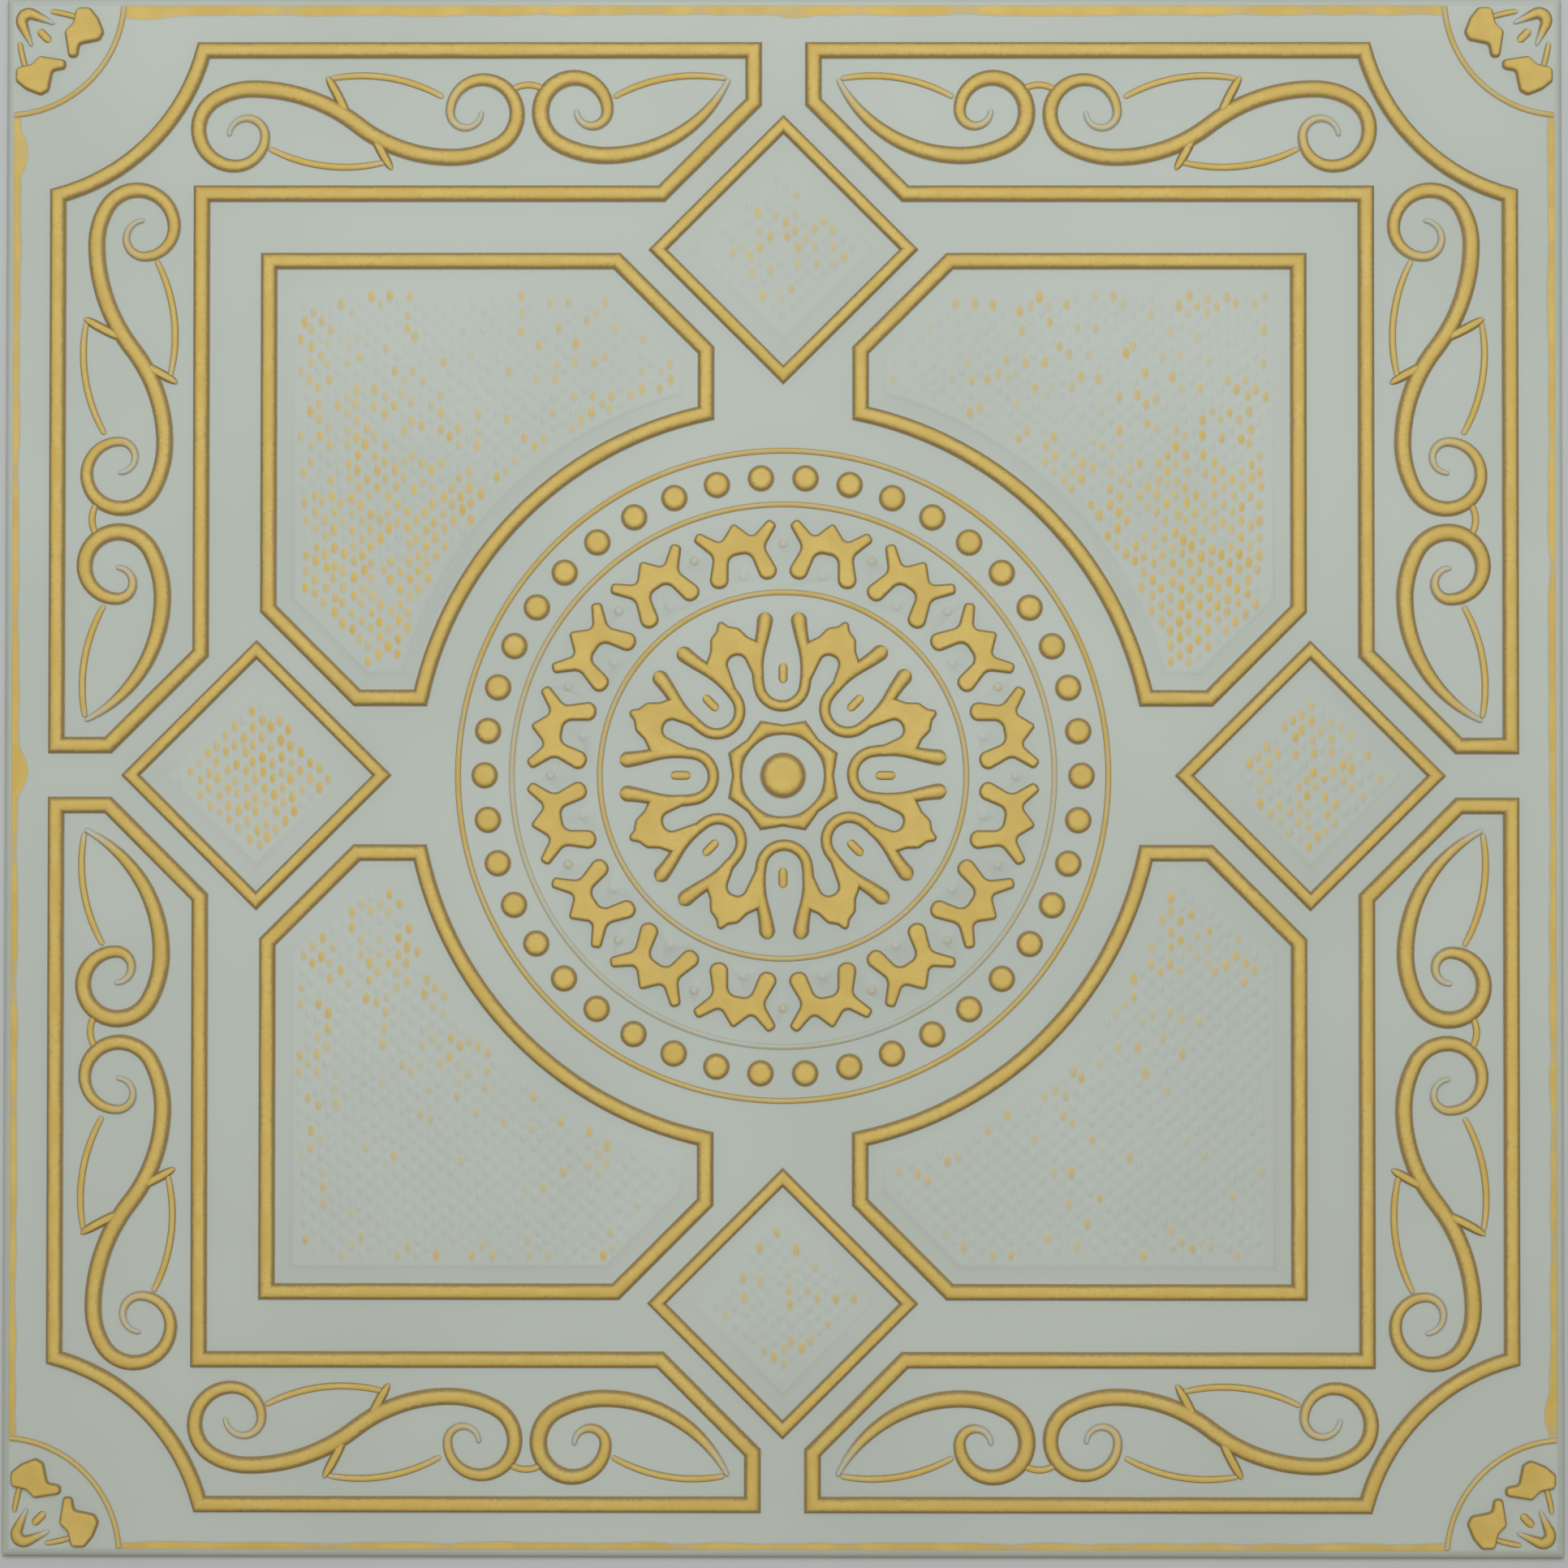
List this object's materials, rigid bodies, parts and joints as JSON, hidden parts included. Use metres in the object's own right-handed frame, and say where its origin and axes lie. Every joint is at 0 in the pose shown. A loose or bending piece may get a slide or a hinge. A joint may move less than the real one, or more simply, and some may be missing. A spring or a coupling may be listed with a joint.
{
  "type": "polystyrene ceiling tile",
  "caption": "Thin square foam ceiling tile with a pressed relief of corner frames, scrolls, stippled panels and a beaded rosette, glued to a ceiling by its flat back.",
  "frame": {"origin": "centre of the flat back face, which is glued to the ceiling", "axes": "+Z out of the ornamented face, +X and +Y along the sides of the square"},
  "size_m": [0.5, 0.5, 0.0064],
  "materials": {
    "painted_foam": "matte pressed polystyrene foam in pale sage, with matte gold paint rolled over the raised ornament"
  },
  "bodies": {
    "root": {"ceiling_tile": "painted_foam"}
  },
  "joints": []
}
